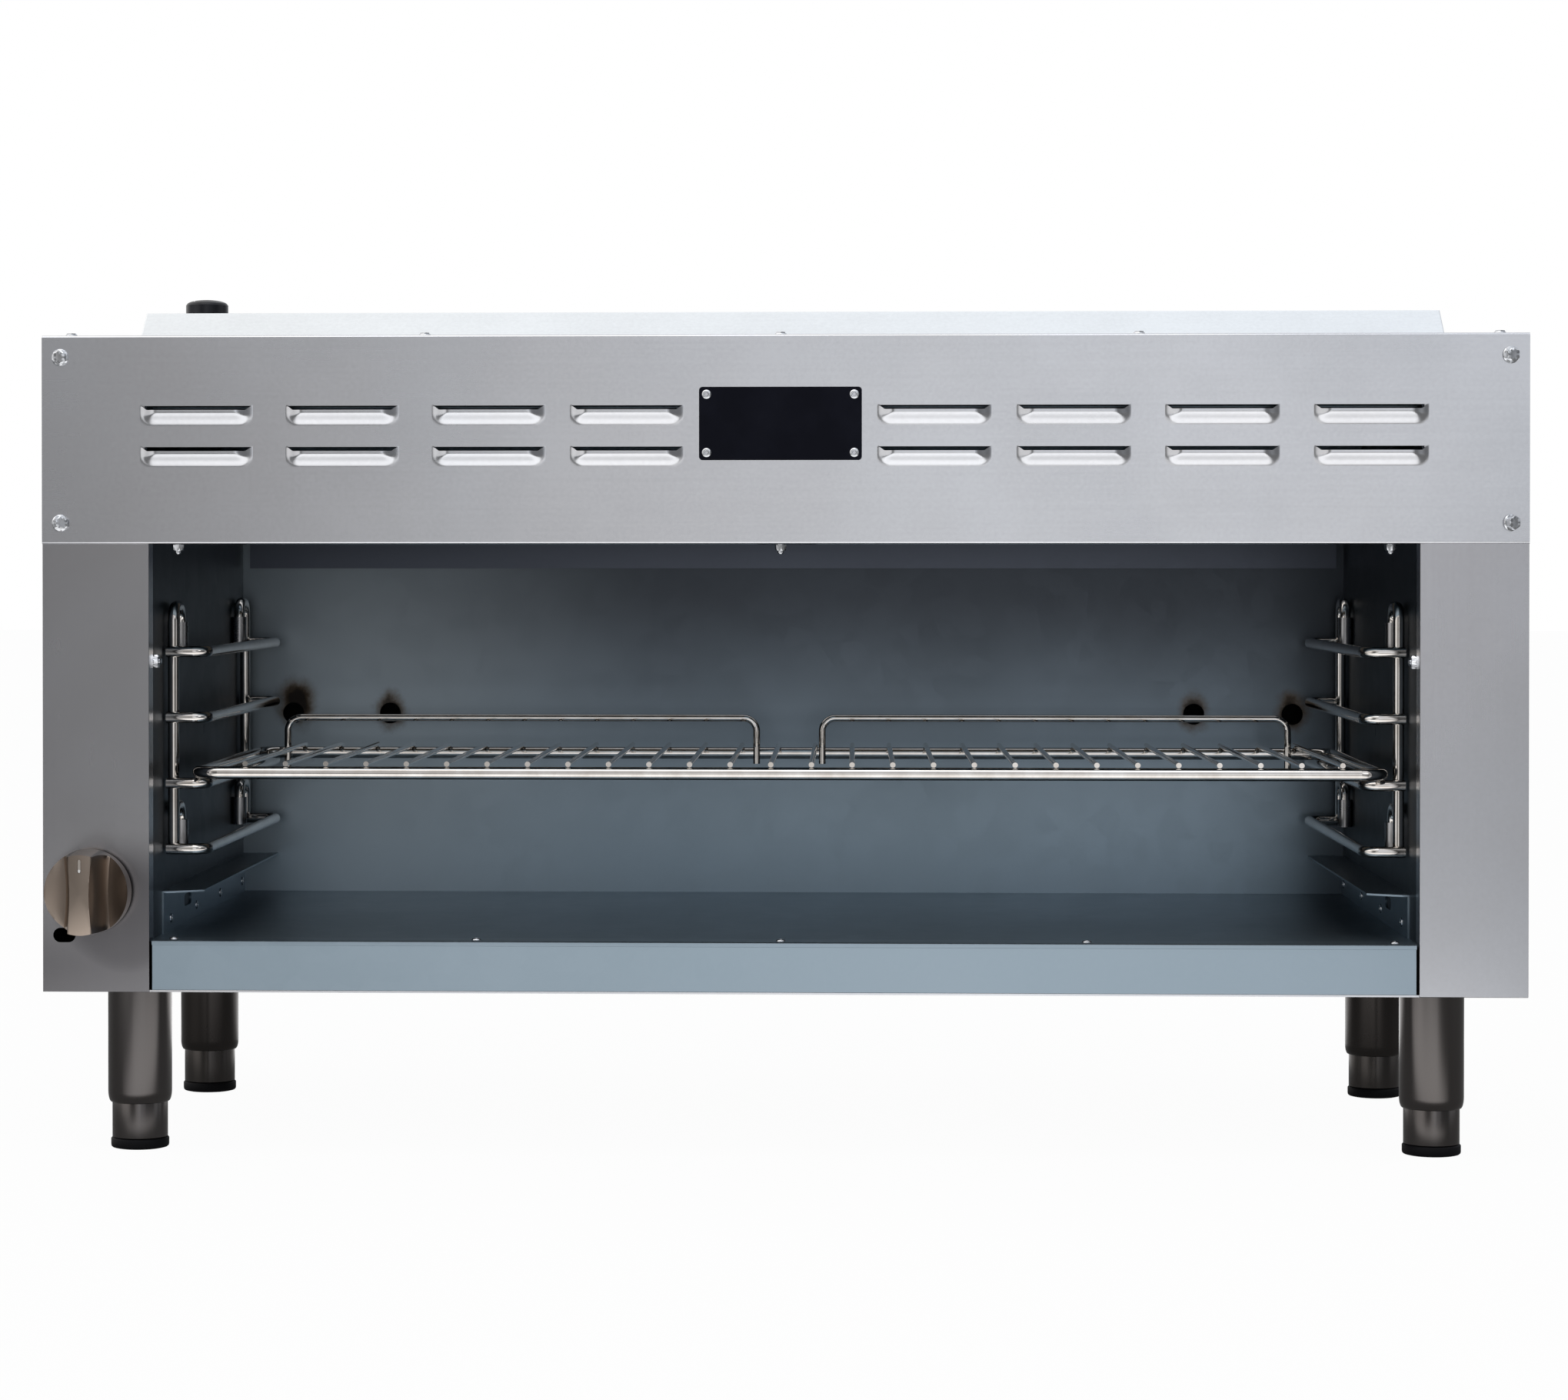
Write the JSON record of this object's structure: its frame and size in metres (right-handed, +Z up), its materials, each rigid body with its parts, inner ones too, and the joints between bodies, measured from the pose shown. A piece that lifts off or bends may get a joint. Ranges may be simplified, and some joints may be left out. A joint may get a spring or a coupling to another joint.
{
  "type": "cheese melter",
  "caption": "Open-fronted gas infrared cheese melter: stainless cabinet with louvered hood, sliding wire rack on lift-off guides, control knob, flue riser and adjustable legs.",
  "frame": {"origin": "on the floor under the middle of the whole object, between the knob and the gas regulator", "axes": "+Z up, +X to the right seen from the front, the open front faces -Y"},
  "size_m": [0.9144, 0.5612, 0.5625],
  "materials": {
    "stainless_brushed": "satin stainless sheet",
    "galvanised": "bluish galvanised sheet, satin",
    "chrome_wire": "bright plated wire",
    "socket_steel": "plated steel tube",
    "fastener_zinc": "zinc plated",
    "black_plate": "satin black, bare",
    "ceramic_tile": "fired ceramic, matt",
    "screen_steel": "heat-darkened steel",
    "black_pipe": "black iron pipe",
    "valve_brass": "machined brass",
    "regulator_cast": "die cast, dull",
    "black_plastic": "black moulding, satin",
    "knob_nickel": "satin nickel",
    "leg_steel": "polished stainless tube"
  },
  "bodies": {
    "cabinet": {"left_side_panel": "stainless_brushed", "right_side_panel": "stainless_brushed", "front_panel": "stainless_brushed", "top_cover": "stainless_brushed", "flue_riser": "stainless_brushed", "base_panel": "stainless_brushed", "back_panel": "galvanised", "front_rail": "galvanised", "floor_plate": "galvanised", "left_liner": "galvanised", "right_liner": "galvanised", "back_liner": "galvanised", "ceiling_plate": "galvanised", "header_lip": "galvanised", "heat_shield": "galvanised", "left_floor_bracket": "galvanised", "right_floor_bracket": "galvanised", "left_burner_housing": "galvanised", "right_burner_housing": "galvanised", "burner_venturis": "galvanised", "left_guide_sockets": "socket_steel", "right_guide_sockets": "socket_steel", "panel_bolts": "fastener_zinc", "top_screws": "fastener_zinc", "back_screws": "fastener_zinc", "nameplate_rivets": "fastener_zinc", "floor_rivets": "fastener_zinc", "bracket_rivets": "fastener_zinc", "ceiling_screws": "fastener_zinc", "side_nuts": "fastener_zinc", "nameplate": "black_plate", "left_burner_tile": "ceramic_tile", "right_burner_tile": "ceramic_tile", "burner_screens": "screen_steel", "gas_manifold": "black_pipe", "supply_pipe": "black_pipe", "gas_valve": "valve_brass", "pilot_burner": "screen_steel", "regulator": "regulator_cast", "regulator_cap": "black_plastic", "leg_tube_front_left": "leg_steel", "leg_tube_front_right": "leg_steel", "leg_tube_rear_left": "leg_steel", "leg_tube_rear_right": "leg_steel"},
    "left_guide": {"left_rack_guide": "chrome_wire"},
    "right_guide": {"right_rack_guide": "chrome_wire"},
    "rack": {"rack_frame": "chrome_wire", "rack_wires": "chrome_wire", "rack_stops": "chrome_wire"},
    "knob": {"control_knob": "knob_nickel", "valve_stem": "valve_brass"},
    "foot_front_left": {"leg_foot_front_left": "leg_steel", "foot_pad_front_left": "black_plastic"},
    "foot_front_right": {"leg_foot_front_right": "leg_steel", "foot_pad_front_right": "black_plastic"},
    "foot_rear_left": {"leg_foot_rear_left": "leg_steel", "foot_pad_rear_left": "black_plastic"},
    "foot_rear_right": {"leg_foot_rear_right": "leg_steel", "foot_pad_rear_right": "black_plastic"}
  },
  "joints": [
    {"name": "knob_turn", "type": "hinge", "parent": "cabinet", "child": "knob", "pos_m": [-0.42725, -0.2426, 0.1653], "axis": [0, -1, 0], "range_deg": [0, 180]},
    {"name": "left_guide_lift", "type": "slide", "parent": "cabinet", "child": "left_guide", "axis": [0, 0, 1], "range_m": [0, 0.024]},
    {"name": "right_guide_lift", "type": "slide", "parent": "cabinet", "child": "right_guide", "axis": [0, 0, 1], "range_m": [0, 0.024]},
    {"name": "rack_slide", "type": "slide", "parent": "left_guide", "child": "rack", "axis": [0, -1, 0], "range_m": [0, 0.25]},
    {"name": "foot_front_left_screw", "type": "slide", "parent": "cabinet", "child": "foot_front_left", "axis": [0, 0, 1], "range_m": [-0.025, 0.02]},
    {"name": "foot_front_right_screw", "type": "slide", "parent": "cabinet", "child": "foot_front_right", "axis": [0, 0, 1], "range_m": [-0.025, 0.02]},
    {"name": "foot_rear_left_screw", "type": "slide", "parent": "cabinet", "child": "foot_rear_left", "axis": [0, 0, 1], "range_m": [-0.025, 0.02]},
    {"name": "foot_rear_right_screw", "type": "slide", "parent": "cabinet", "child": "foot_rear_right", "axis": [0, 0, 1], "range_m": [-0.025, 0.02]}
  ],
  "couplings": [
    {"joint": "right_guide_lift", "follows": "left_guide_lift", "ratio": 1}
  ]
}
